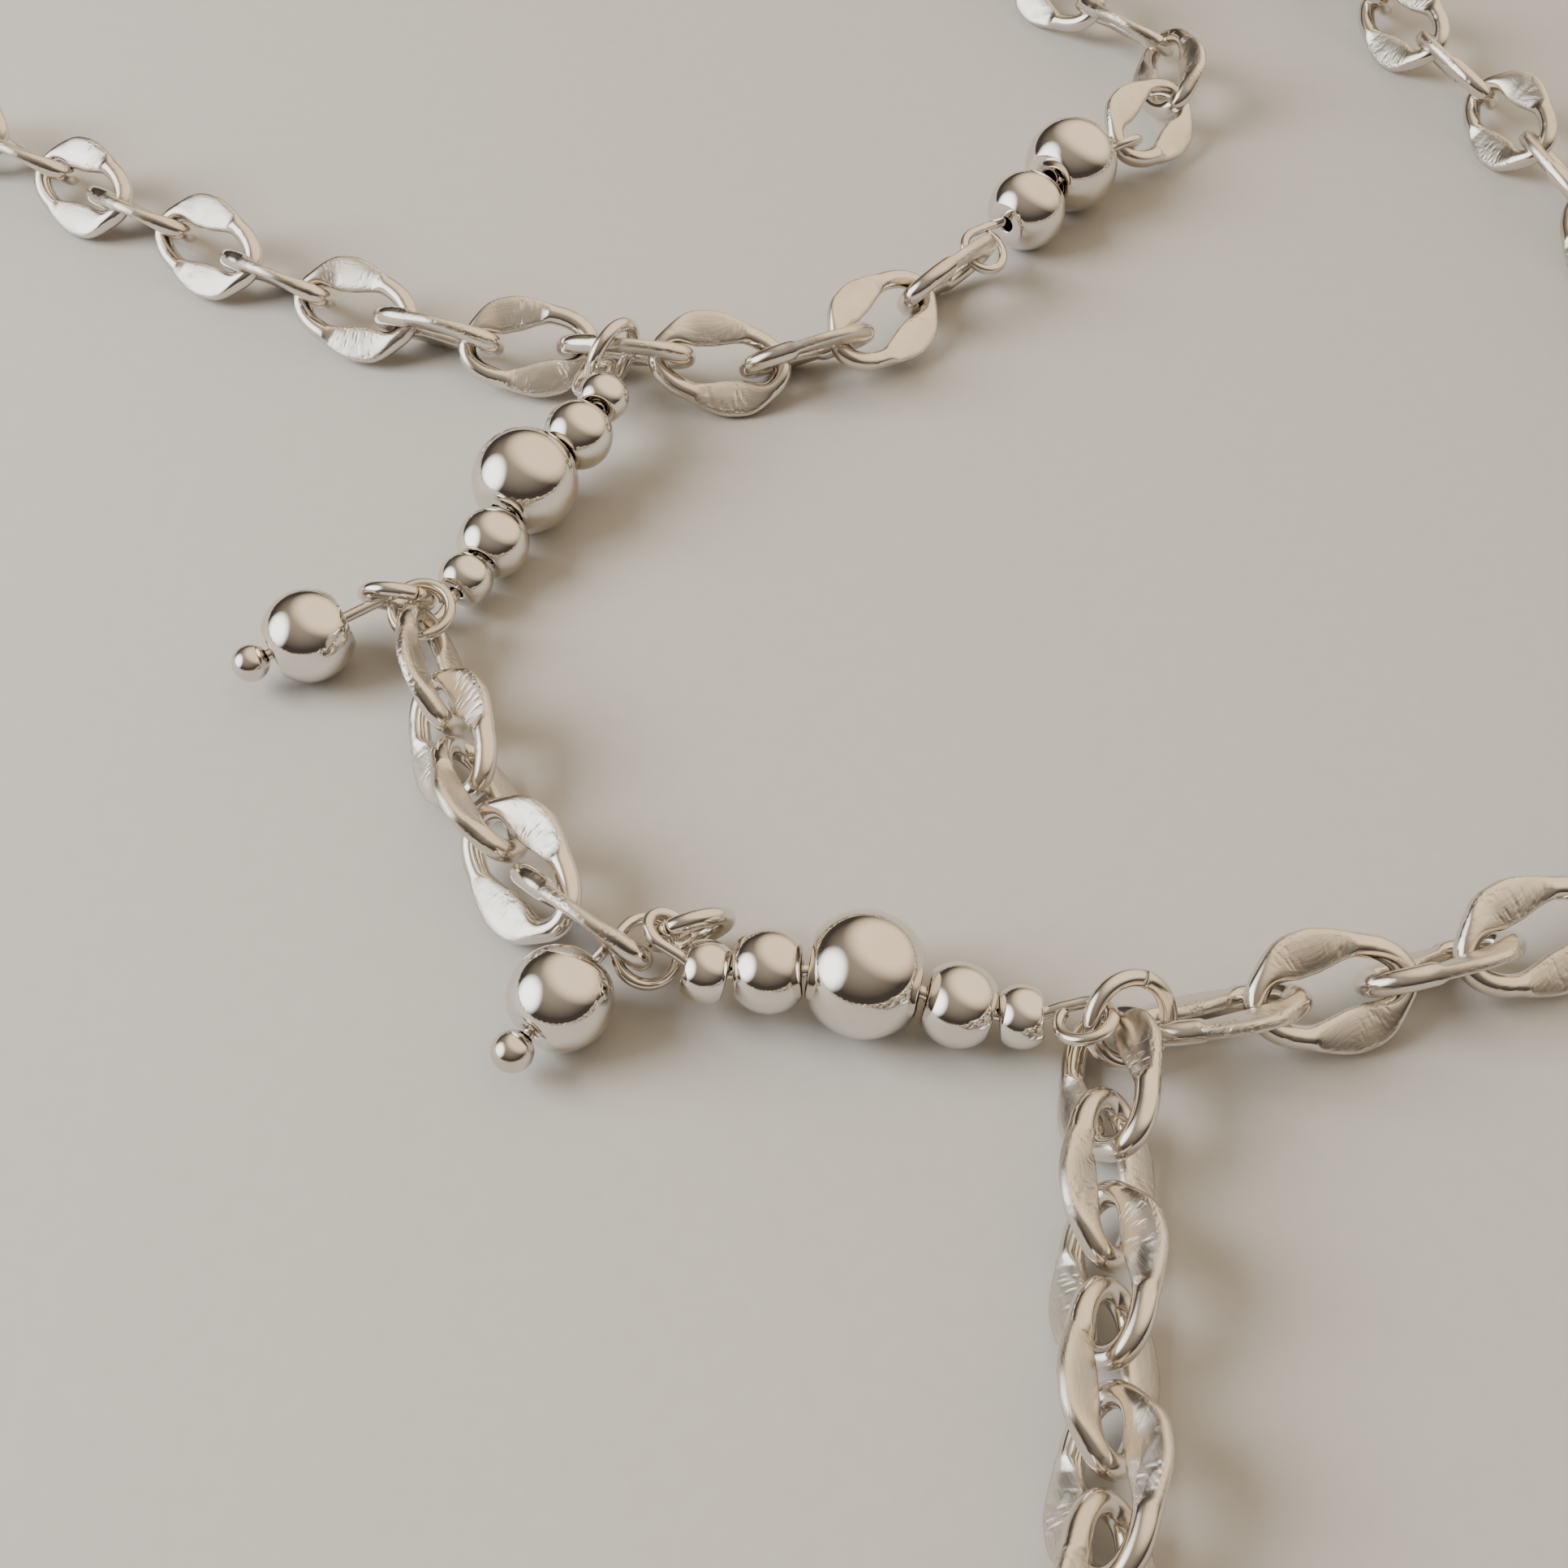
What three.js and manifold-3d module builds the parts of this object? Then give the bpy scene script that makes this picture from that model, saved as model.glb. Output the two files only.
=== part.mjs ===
// Double chain necklace, lying on a table. Millimetres, +Z up, floor at z = 0.
// Places are written in the layout's own frame. The last lines move the whole to its base centre.
import * as THREE from 'three';
import { mergeVertices } from 'three/addons/utils/BufferGeometryUtils.js';
import Module from 'manifold-3d';

const wasm = await Module();
wasm.setup();

// chain link: oval, round wire at the ends, long sides pressed into flat petals
const linkLength = 8.6;
const linkWidth = 6.1;
const endWire = 1.15;
const petalWidth = 2.15;
const petalThickness = 0.75;
const petalStart = { from: -3.4, full: -1.6 };
const petalTaper = { full: -0.9, to: 1.7 };
const petalStep = { full: 0.85, to: 1.4 };
const endReach = (linkLength - endWire) / 2;
const sideReach = 2.03;
const linkSegments = 14;
const hiddenLinkSegments = 10;
const wireSides = 5;

// thicker wire of the jump rings, thin wire of the pins
const ringWire = 0.85;
const pinWire = 0.6;
const eyeRadius = 1.25;
const dropEyeRadius = 1.55;
const eyeTurn = 318;
const eyeStep = 26.5;
const pinStep = 0.95;

// clasp: a closed bar with a raised eyelet at each end
const claspLength = 14.8;
const claspWidth = 5;
const claspHeight = 2.8;
const claspLift = 1.6;
const claspBody = 5.6;
const claspHole = 2.6;
const claspHoleAt = 4.9;
const claspRing = 5.6;
const claspRingAt = 7.25;
const claspPlace = { x: -61, y: 7, azimuth: -40 };
const lastLinkAt = 11.95;

const steel = {
  bead: { color: 0xc9c2ba, roughness: 0.06, metalness: 1 },
  link: { color: 0xbdb2a6, roughness: 0.24, metalness: 1 },
  wire: { color: 0xc0b8ae, roughness: 0.16, metalness: 1 },
  clasp: { color: 0xbfb8b0, roughness: 0.2, metalness: 1 },
};

// beads by size: radius, half length between the two faces, radius of the bore
const beadSize = {
  three: { r: 1.5, half: 1.02, bore: 1 },
  four: { r: 2, half: 1.58, bore: 1 },
  five: { r: 2.5, half: 2.12, bore: 1.1 },
  six: { r: 3, half: 2.58, bore: 1.3 },
};

// beads in the order they sit on their pin
const beadRows = {
  upper_string: [
    { name: 'bead_upper_1', size: 'three', x: -10.4, y: 95.6, z: 3.9 },
    { name: 'bead_upper_2', size: 'four', x: -11.69, y: 92.9, z: 3.48 },
    { name: 'bead_upper_3', size: 'six', x: -14.5, y: 89.6, z: 3 },
    { name: 'bead_upper_4', size: 'four', x: -16, y: 85.4, z: 2.2 },
    { name: 'bead_upper_5', size: 'three', x: -17.3, y: 82.85, z: 1.9 },
  ],
  lower_string: [
    { name: 'bead_lower_1', size: 'three', x: -3.6, y: 56.4, z: 2.7 },
    { name: 'bead_lower_2', size: 'four', x: -0.7, y: 56.3, z: 2.9 },
    { name: 'bead_lower_3', size: 'six', x: 3.72, y: 56.05, z: 3 },
    { name: 'bead_lower_4', size: 'four', x: 8, y: 54.85, z: 2.25 },
    { name: 'bead_lower_5', size: 'three', x: 10.86, y: 54.4, z: 1.95 },
  ],
  far_pair: [
    { name: 'bead_far_1', size: 'five', x: 15.55, y: 115.85, z: 2.5 },
    { name: 'bead_far_2', size: 'six', x: 18.72, y: 120.15, z: 3 },
  ],
  near_pair: [
    { name: 'bead_near_1', size: 'five', x: 42.14, y: 62.4, z: 2.5 },
    { name: 'bead_near_2', size: 'six', x: 46.2, y: 65.45, z: 3 },
  ],
};

// eyes at the two ends of each pin: seen from the end bead by heading, tilt, turn and reach to the loop,
// or aimed at the end of a link
const pinEyes = {
  upper_string: [
    { azimuth: 82.85, tilt: -4.26, roll: 148.78, reach: 2.85 },
    { azimuth: -116.61, tilt: -9.51, roll: -32.5, reach: 2.5, radius: 0.95 },
  ],
  lower_string: [
    { azimuth: 157.72, tilt: 23.98, roll: 11.75, reach: 2.5, radius: 0.95 },
    { azimuth: 4.6, tilt: 16.62, roll: -16.9, reach: 2.85 },
  ],
  far_pair: [
    { link: 'link_far_4', side: 1, radius: 1.35 },
    { chain: 'drape_chain', end: 'first', side: -1, radius: 1.3 },
  ],
  near_pair: [
    { link: 'link_right_4', side: 1, radius: 1.35 },
    { chain: 'drape_chain', end: 'last', side: 1, radius: 1.35 },
  ],
};

// drops: ball and headpin, seen from the middle of the ball
const drops = [
  { name: 'drop_left', x: -25.06, y: 78.06, z: 2.5, azimuth: 27.7, tilt: 9.05, roll: 14.45, reach: 5.85 },
  { name: 'drop_near', x: -10.22, y: 55.05, z: 2.5, azimuth: 51.51, tilt: 8.43, roll: 35.72, reach: 4.5 },
];
const headRadius = 1;
const headAt = -3.3;

// jump rings: middle of the ring, and its plane by heading, tilt and turn
const jumpRings = [
  { name: 'ring_upper', outer: 4.8, x: -10.1, y: 99.87, z: 3.61, azimuth: 64.15, tilt: 125.06, roll: 79.27 },
  { name: 'ring_lower', outer: 4.8, x: 15.67, y: 53.72, z: 2.71, azimuth: 49.11, tilt: 27.8, roll: 47.51 },
  { name: 'ring_drop_left', outer: 4.2, x: -20.67, y: 80.64, z: 2.73, azimuth: 115.52, tilt: -55.56, roll: -152.86 },
  { name: 'ring_drop_near', outer: 4.4, x: -4.37, y: 58.94, z: 2.44, azimuth: 85.03, tilt: -67.43, roll: -21.83 },
];

// links that are pieces of their own, read off the photo one by one
const ownLinks = [
  { name: 'link_left_0', x: -9.44, y: 101.31, z: 2.7, azimuth: -12.1, tilt: 4.32, roll: -48.7 },
  { name: 'link_left_1', x: -15.3, y: 102.12, z: 2.44, azimuth: -1.34, tilt: 3.36, roll: 39.27 },
  { name: 'link_left_2', x: -20.86, y: 103.42, z: 2.54, azimuth: -20.98, tilt: 1.04, roll: -52.61 },
  { name: 'link_left_3', x: -26.17, y: 105.75, z: 2.41, azimuth: -23.78, tilt: 0.54, roll: 39.76 },
  { name: 'link_left_4', x: -31.36, y: 108.67, z: 2.45, azimuth: -32, tilt: 0, roll: -49.36 },
  { name: 'link_left_5', x: -36.25, y: 112.04, z: 2.45, azimuth: -34.94, tilt: -0.73, roll: 40.34 },
  { name: 'link_left_6', x: -41.08, y: 115.48, z: 2.42, azimuth: -33.89, tilt: 1.02, roll: -45.67 },
  { name: 'link_left_7', x: -45.6, y: 118.72, z: 2.25, azimuth: -36.86, tilt: 1.61, roll: 39.87 },
  { name: 'link_far_1', x: -3.82, y: 100.66, z: 2.34, azimuth: -2.07, tilt: -8.41, roll: 40.89 },
  { name: 'link_far_2', x: 1.37, y: 101.68, z: 2.5, azimuth: 19.55, tilt: 4.35, roll: -49.77 },
  { name: 'link_far_3', x: 6.01, y: 104.63, z: 2.47, azimuth: 47.71, tilt: 2.43, roll: 36.43 },
  { name: 'link_far_4', x: 10.1, y: 109, z: 2.58, azimuth: 48.5, tilt: -3.74, roll: -60 },
  { name: 'link_right_1', x: 19.81, y: 54.32, z: 2.31, azimuth: 8.17, tilt: 6.84, roll: -40.92 },
  { name: 'link_right_2', x: 25.12, y: 55.46, z: 2.47, azimuth: 14.06, tilt: -1.37, roll: 40.67 },
  { name: 'link_right_3', x: 30.38, y: 57.01, z: 2.46, azimuth: 19, tilt: -0.55, roll: -49.69 },
  { name: 'link_right_4', x: 35.15, y: 58.54, z: 2.48, azimuth: 21.65, tilt: 1.6, roll: 39.79 },
  { name: 'link_middle_1', x: -18.17, y: 75.46, z: 2.7, azimuth: -74.96, tilt: -0.99, roll: -60.24 },
  { name: 'link_middle_2', x: -16.78, y: 70.95, z: 2.48, azimuth: -66.95, tilt: 1.35, roll: 44.03 },
  { name: 'link_middle_3', x: -14.98, y: 66.77, z: 2.67, azimuth: -67.84, tilt: 3.91, roll: -46.74 },
  { name: 'link_middle_4', x: -12.66, y: 62.52, z: 2.47, azimuth: -54.61, tilt: -2.23, roll: 38.64 },
  { name: 'link_middle_5', x: -9.54, y: 59.46, z: 2.82, azimuth: -40.06, tilt: -0.22, roll: -64.32 },
  { name: 'link_front_1', x: 14.49, y: 50.76, z: 2.28, azimuth: -87.2, tilt: 11.23, roll: 45.79 },
  { name: 'link_front_2', x: 13.91, y: 45.77, z: 2.51, azimuth: -96.56, tilt: -1.29, roll: -45.47 },
  { name: 'link_front_3', x: 13.48, y: 41.3, z: 2.42, azimuth: -93.49, tilt: 0.95, roll: 45.05 },
  { name: 'link_front_4', x: 13.1, y: 36.8, z: 2.41, azimuth: -95.84, tilt: 0.25, roll: -44.91 },
  { name: 'link_front_5', x: 12.6, y: 32.3, z: 2.45, azimuth: -96.97, tilt: 0.01, roll: 44.58 },
  { name: 'link_front_6', x: 12.1, y: 27.82, z: 2.46, azimuth: -95.97, tilt: -0.36, roll: -44.76 },
];

// chains that leave the picture: guide points on the floor, turn of the first and of the last link
const chainPitch = 6.6;
const floorGap = 0.03;
const joinTolerance = 0.04;
const chains = {
  neck_chain_left: {
    from: 46,
    to: 90,
    route: [
      { x: -47.2, y: 120.1 },
      { x: -56, y: 125.2 },
      { x: -66, y: 125.5 },
      { x: -77, y: 117 },
      { x: -84, y: 100 },
      { x: -86, y: 78 },
      { x: -84, y: 55 },
      { x: -79, y: 33 },
    ],
    clasp: -1,
  },
  neck_chain_right: {
    from: 45,
    to: 90,
    route: [
      { x: 11.9, y: 25.5 },
      { x: 10.5, y: 15 },
      { x: 5, y: 3 },
      { x: -6, y: -7 },
      { x: -21, y: -12 },
      { x: -35.2, y: -9.8 },
    ],
    clasp: 1,
  },
  drape_chain: {
    from: 40,
    to: 50,
    route: [
      { x: 22.5, y: 123 },
      { x: 26.1, y: 128.5 },
      { x: 25.9, y: 134.9 },
      { x: 22, y: 140 },
      { x: 18.3, y: 146 },
      { x: 20, y: 153.5 },
      { x: 27.5, y: 156.5 },
      { x: 37, y: 151.5 },
      { x: 44, y: 138 },
      { x: 50, y: 122 },
      { x: 53.5, y: 105 },
      { x: 54.2, y: 90 },
      { x: 54, y: 80 },
      { x: 51, y: 71.4 },
    ],
  },
};

const degrees = Math.PI / 180;

function turn(azimuth, tilt, roll) {
  return new THREE.Euler(roll * degrees, -tilt * degrees, azimuth * degrees, 'ZYX');
}

function poseMatrix(pose) {
  const spin = new THREE.Quaternion().setFromEuler(turn(pose.azimuth, pose.tilt, pose.roll));
  return new THREE.Matrix4().compose(
    new THREE.Vector3(pose.x, pose.y, pose.z),
    spin,
    new THREE.Vector3(1, 1, 1),
  );
}

function material(kind) {
  return new THREE.MeshStandardMaterial(steel[kind]);
}

function piece(name, geometry, kind) {
  const mesh = new THREE.Mesh(geometry, material(kind));
  mesh.name = name;
  return mesh;
}

// three.js geometry to a manifold solid and back
function solid(geometry) {
  const bare = geometry.clone();
  bare.deleteAttribute('normal');
  bare.deleteAttribute('uv');
  const welded = mergeVertices(bare, 1e-5);
  const mesh = new wasm.Mesh({
    numProp: 3,
    vertProperties: new Float32Array(welded.attributes.position.array),
    triVerts: new Uint32Array(welded.index.array),
  });
  return new wasm.Manifold(mesh);
}

function fromSolid(body) {
  const mesh = body.getMesh();
  const geometry = new THREE.BufferGeometry();
  geometry.setAttribute('position', new THREE.BufferAttribute(mesh.vertProperties, 3));
  geometry.setIndex(new THREE.BufferAttribute(mesh.triVerts, 1));
  geometry.computeVertexNormals();
  return geometry;
}

function welded(geometry) {
  geometry.deleteAttribute('normal');
  geometry.deleteAttribute('uv');
  const joined = mergeVertices(geometry, 1e-5);
  joined.computeVertexNormals();
  return joined;
}

// share of the way from round wire to full petal, by the place along the side: a slow start, then the given end
function petalShare(along, end) {
  const { smoothstep } = THREE.MathUtils;
  const start = smoothstep(along, petalStart.from, petalStart.full);
  return start * (1 - smoothstep(along, end.full, end.to));
}

// x along the link, y across it, z through its thickness
function linkGeometry(segments) {
  const geometry = new THREE.TorusGeometry(1, 0.4, wireSides, segments);
  const places = geometry.attributes.position;
  const columns = segments + 1;
  for (let side = 0; side <= wireSides; side += 1) {
    for (let step = 0; step < columns; step += 1) {
      const round = ((step % segments) / segments) * 2 * Math.PI;
      const section = ((side % wireSides) / wireSides) * 2 * Math.PI;
      const cosine = Math.cos(round);
      const sine = Math.sin(round);
      const middleX = endReach * Math.sign(cosine) * Math.abs(cosine) ** 0.9;
      const middleY = sideReach * sine;
      const along = middleX * Math.sign(sine);
      const width = endWire + (petalWidth - endWire) * petalShare(along, petalTaper);
      const height = endWire + (petalThickness - endWire) * petalShare(along, petalStep);
      const normal = new THREE.Vector2(cosine / linkLength, sine / linkWidth).normalize();
      const across = (width / 2) * Math.cos(section);
      places.setXYZ(
        side * columns + step,
        middleX + normal.x * across,
        middleY + normal.y * across,
        (height / 2) * Math.sin(section),
      );
    }
  }
  return welded(geometry);
}

function ringGeometry(outer, wire, segments) {
  return welded(new THREE.TorusGeometry((outer - wire) / 2, wire / 2, wireSides, segments));
}

// bored bead, its bore along local +Z
function beadGeometry(size) {
  const { r, half, bore } = beadSize[size];
  const rows = size === 'three' ? 4 : 6;
  const limit = Math.asin(half / r);
  const profile = [new THREE.Vector2(bore, -half)];
  for (let row = 0; row <= rows; row += 1) {
    const angle = -limit + (2 * limit * row) / rows;
    profile.push(new THREE.Vector2(r * Math.cos(angle), r * Math.sin(angle)));
  }
  profile.push(new THREE.Vector2(bore, half));
  profile.push(new THREE.Vector2(bore, -half));
  const geometry = new THREE.LatheGeometry(profile, 12);
  geometry.rotateX(Math.PI / 2);
  return welded(geometry);
}

// an eye's own frame, x along the pin away from the bead, aimed so that its loop takes in the end of a link
function aimedEye(at, link, side, radius) {
  const frame = poseMatrix(link);
  const target = new THREE.Vector3(side * endReach, 0, 0).applyMatrix4(frame);
  const toward = target.clone().sub(at);
  const distance = toward.length();
  toward.normalize();
  const normal = new THREE.Vector3(0, 1, 0).transformDirection(frame);
  normal.addScaledVector(toward, -normal.dot(toward)).normalize();
  const reach = Math.sqrt(distance ** 2 - radius ** 2);
  const along = toward.multiplyScalar(reach / distance);
  along.addScaledVector(new THREE.Vector3().crossVectors(normal, along).normalize(), radius / distance);
  along.normalize();
  const across = new THREE.Vector3().crossVectors(normal, along);
  return { reach, matrix: new THREE.Matrix4().makeBasis(along, across, normal).setPosition(at) };
}

function placedEye(eye, at, radius) {
  if (eye.link) return aimedEye(at, ownLinks.find((link) => link.name === eye.link), eye.side, radius);
  if (eye.chain) {
    const poses = chainPoses(chains[eye.chain]);
    return aimedEye(at, eye.end === 'first' ? poses[0] : poses[poses.length - 1], eye.side, radius);
  }
  return { reach: eye.reach, matrix: poseMatrix({ ...eye, x: at.x, y: at.y, z: at.z }) };
}

// points of an eye: along the pin, then round the loop
function eyePoints(eye, at, radius) {
  const { reach, matrix } = placedEye(eye, at, radius);
  const points = [new THREE.Vector3(reach - 0.9, 0, 0)];
  for (let angle = 0; angle <= eyeTurn; angle += eyeStep) {
    const a = (90 - angle) * degrees;
    points.push(new THREE.Vector3(reach + radius * Math.cos(a), radius * Math.sin(a) - radius, 0));
  }
  return points.map((point) => point.applyMatrix4(matrix));
}

function tube(points, wire) {
  const curve = new THREE.CatmullRomCurve3(points, false, 'centripetal');
  const section = new THREE.Shape();
  for (let side = 0; side < wireSides; side += 1) {
    const angle = (side / wireSides) * 2 * Math.PI;
    const x = (wire / 2) * Math.cos(angle);
    const y = (wire / 2) * Math.sin(angle);
    if (side === 0) section.moveTo(x, y);
    else section.lineTo(x, y);
  }
  section.closePath();
  const steps = Math.round(curve.getLength() / pinStep);
  return new THREE.ExtrudeGeometry(section, { steps, curveSegments: 1, extrudePath: curve });
}

// height of a link's middle where it and its neighbour, a quarter turn on, both rest on the floor
function restHeight(roll) {
  const sides = [Math.abs(Math.sin(roll * degrees)), Math.abs(Math.cos(roll * degrees))];
  return (linkWidth / 2) * Math.max(...sides) + (petalThickness / 2) * Math.min(...sides) + floorGap;
}

// links at an equal pitch along the guide, every second one turned a quarter turn on
function chainPoses(chain) {
  const guide = chain.route.map((point) => new THREE.Vector3(point.x, point.y, 0));
  if (chain.clasp) {
    for (const reach of [lastLinkAt + chainPitch, lastLinkAt - chainPitch / 2]) {
      const point = new THREE.Vector3(chain.clasp * reach, 0, 0).applyMatrix4(claspFrame);
      guide.push(point);
    }
  }
  const curve = new THREE.CatmullRomCurve3(guide, false, 'centripetal');
  curve.arcLengthDivisions = 2000;
  const count = Math.round(curve.getLength() / chainPitch);
  return Array.from({ length: count }, (_, index) => {
    const place = curve.getPointAt((index + 0.5) / count);
    const heading = curve.getTangentAt((index + 0.5) / count);
    const quarter = index % 2 ? 90 : 0;
    const roll = chain.from + ((chain.to - chain.from) * index) / (count - 1);
    return {
      x: place.x,
      y: place.y,
      z: restHeight(roll),
      azimuth: Math.atan2(heading.y, heading.x) / degrees,
      tilt: 0,
      roll: roll + quarter,
    };
  });
}

const claspFrame = new THREE.Matrix4()
  .makeRotationZ(claspPlace.azimuth * degrees)
  .setPosition(claspPlace.x, claspPlace.y, 0);

const layout = new THREE.Group();

// beads and the pins they are threaded on
for (const [row, beads] of Object.entries(beadRows)) {
  const centres = beads.map((bead) => new THREE.Vector3(bead.x, bead.y, bead.z));
  const [first, last] = pinEyes[row];
  const start = eyePoints(first, centres[0], first.radius ?? eyeRadius);
  const end = eyePoints(last, centres[centres.length - 1], last.radius ?? eyeRadius);
  beads.forEach((bead, index) => {
    const before = index === 0 ? start[0] : centres[index - 1];
    const after = index === beads.length - 1 ? end[0] : centres[index + 1];
    const inbound = centres[index].clone().sub(before).normalize();
    const outbound = after.clone().sub(centres[index]).normalize();
    const mesh = piece(bead.name, beadGeometry(bead.size), 'bead');
    mesh.position.copy(centres[index]);
    mesh.quaternion.setFromUnitVectors(new THREE.Vector3(0, 0, 1), inbound.add(outbound).normalize());
    layout.add(mesh);
  });
  layout.add(piece(`pin_${row}`, welded(tube([...start.reverse(), ...centres, ...end], pinWire)), 'wire'));
}

// drops: a ball, and a pin that ends in a small head
for (const drop of drops) {
  const centre = new THREE.Vector3(drop.x, drop.y, drop.z);
  const along = new THREE.Vector3(1, 0, 0).transformDirection(poseMatrix(drop));
  const ball = piece(`${drop.name}_ball`, beadGeometry('five'), 'bead');
  ball.position.copy(centre);
  ball.quaternion.setFromUnitVectors(new THREE.Vector3(0, 0, 1), along);
  layout.add(ball);
  const headCentre = centre.clone().addScaledVector(along, headAt);
  const head = new THREE.SphereGeometry(headRadius, 12, 8);
  head.translate(headCentre.x, headCentre.y, headCentre.z);
  const wire = tube([headCentre, centre, ...eyePoints(drop, centre, dropEyeRadius)], pinWire);
  const pin = wasm.Manifold.union([solid(head), solid(wire)]);
  layout.add(piece(`${drop.name}_pin`, fromSolid(pin), 'wire'));
}

for (const ring of jumpRings) {
  const mesh = piece(ring.name, ringGeometry(ring.outer, ringWire, 16), 'wire');
  mesh.position.set(ring.x, ring.y, ring.z);
  mesh.rotation.copy(turn(ring.azimuth, ring.tilt, ring.roll));
  layout.add(mesh);
}

for (const link of ownLinks) {
  const mesh = piece(link.name, linkGeometry(linkSegments), 'link');
  mesh.position.set(link.x, link.y, link.z);
  mesh.rotation.copy(turn(link.azimuth, link.tilt, link.roll));
  layout.add(mesh);
}

// clasp and its two rings
function claspGeometry() {
  const outline = new THREE.Shape();
  const half = claspLength / 2 - claspWidth / 2;
  outline.absarc(half, 0, claspWidth / 2, -Math.PI / 2, Math.PI / 2);
  outline.absarc(-half, 0, claspWidth / 2, Math.PI / 2, (3 * Math.PI) / 2);
  for (const side of [-1, 1]) {
    const hole = new THREE.Path();
    hole.absarc(side * claspHoleAt, 0, claspHole / 2, 0, 2 * Math.PI, true);
    outline.holes.push(hole);
  }
  const plate = new THREE.ExtrudeGeometry(outline, {
    depth: claspHeight - claspLift,
    bevelEnabled: false,
    curveSegments: 6,
  });
  plate.translate(0, 0, claspLift);
  const block = new THREE.BoxGeometry(claspBody, claspWidth, claspHeight);
  block.translate(0, 0, claspHeight / 2);
  return fromSolid(wasm.Manifold.union([solid(plate), solid(block)]));
}

const clasp = piece('clasp', claspGeometry(), 'clasp');
clasp.applyMatrix4(claspFrame);
layout.add(clasp);
for (const [name, side] of [['ring_clasp_left', -1], ['ring_clasp_right', 1]]) {
  const geometry = ringGeometry(claspRing, ringWire, 16);
  geometry.rotateX(Math.PI / 2);
  const mesh = piece(name, geometry, 'wire');
  mesh.position.set(side * claspRingAt, 0, claspRing / 2 + 0.05);
  mesh.applyMatrix4(claspFrame);
  layout.add(mesh);
}

// chains: closed bodies, each link let a little way into the next where they pull on each other
for (const [name, chain] of Object.entries(chains)) {
  const links = chainPoses(chain).map((pose) => {
    return solid(linkGeometry(hiddenLinkSegments).applyMatrix4(poseMatrix(pose)));
  });
  const joined = wasm.Manifold.union(links).asOriginal().simplify(joinTolerance);
  layout.add(piece(name, fromSolid(joined), 'link'));
}

// base centre to the origin
layout.updateMatrixWorld(true);
const box = new THREE.Box3().setFromObject(layout, true);
const middle = box.getCenter(new THREE.Vector3());
layout.position.set(-middle.x, -middle.y, -box.min.z);

const necklace = new THREE.Group();
necklace.add(layout);
export default necklace;
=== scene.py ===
import math
import bmesh
import bpy
from mathutils import Euler, Matrix, Vector


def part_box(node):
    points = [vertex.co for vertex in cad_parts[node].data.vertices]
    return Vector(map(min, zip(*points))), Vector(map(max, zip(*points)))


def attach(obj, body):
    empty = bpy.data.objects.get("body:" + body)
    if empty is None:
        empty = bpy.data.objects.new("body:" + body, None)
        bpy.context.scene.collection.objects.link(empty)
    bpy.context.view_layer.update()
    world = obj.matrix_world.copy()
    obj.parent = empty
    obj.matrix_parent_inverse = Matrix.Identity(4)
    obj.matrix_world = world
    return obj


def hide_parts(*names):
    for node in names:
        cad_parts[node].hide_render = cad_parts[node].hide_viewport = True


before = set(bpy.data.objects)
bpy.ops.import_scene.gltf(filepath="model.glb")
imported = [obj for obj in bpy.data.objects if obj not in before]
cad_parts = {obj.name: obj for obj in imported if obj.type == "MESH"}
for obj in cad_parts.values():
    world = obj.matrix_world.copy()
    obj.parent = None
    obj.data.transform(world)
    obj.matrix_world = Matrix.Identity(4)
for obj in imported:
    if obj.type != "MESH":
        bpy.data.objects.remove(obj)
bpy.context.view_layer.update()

# the necklace is written in millimetres in its layout frame, camera above x 0, y 0
anchor = Vector((3.72, 56.05, 3.0))  # middle of the big bead of the lower string
low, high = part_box("bead_lower_3")
middle = Vector([(a + b) / 2 for a, b in zip(low, high)])
toFrame = Matrix.Translation(middle) @ Matrix.Scale(0.001, 4) @ Matrix.Translation(-anchor)


def turnMatrix(azimuth, tilt, roll):
    return Euler((math.radians(roll), -math.radians(tilt), math.radians(azimuth)), "XYZ").to_matrix().to_4x4()


def poseMatrix(x, y, z, azimuth, tilt, roll):
    return Matrix.Translation((x, y, z)) @ turnMatrix(azimuth, tilt, roll)


def smoothStep(low, high, value):
    share = min(1.0, max(0.0, (value - low) / (high - low)))
    return share * share * (3 - 2 * share)


def newMesh(name, vertices, faces, uvs=None, values=None):
    mesh = bpy.data.meshes.new(name)
    mesh.from_pydata([tuple(v) for v in vertices], [], faces)
    sides = bmesh.new()
    sides.from_mesh(mesh)
    bmesh.ops.recalc_face_normals(sides, faces=sides.faces)
    sides.to_mesh(mesh)
    sides.free()
    mesh.polygons.foreach_set("use_smooth", [True] * len(mesh.polygons))
    if uvs is not None:  # one u, v for each vertex, in millimetres of metal
        layer = mesh.uv_layers.new(name="UVMap")
        for loop in mesh.loops:
            layer.data[loop.index].uv = uvs[loop.vertex_index]
    for label, numbers in (values or {}).items():
        mesh.attributes.new(label, "FLOAT", "POINT").data.foreach_set("value", numbers)
    mesh.update()
    return mesh


def newPiece(name, mesh, nodes, material):
    thing = bpy.data.objects.new(name, mesh)
    bpy.context.scene.collection.objects.link(thing)
    mesh.materials.clear()
    mesh.materials.append(material)
    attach(thing, "root")
    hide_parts(*nodes)


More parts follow.
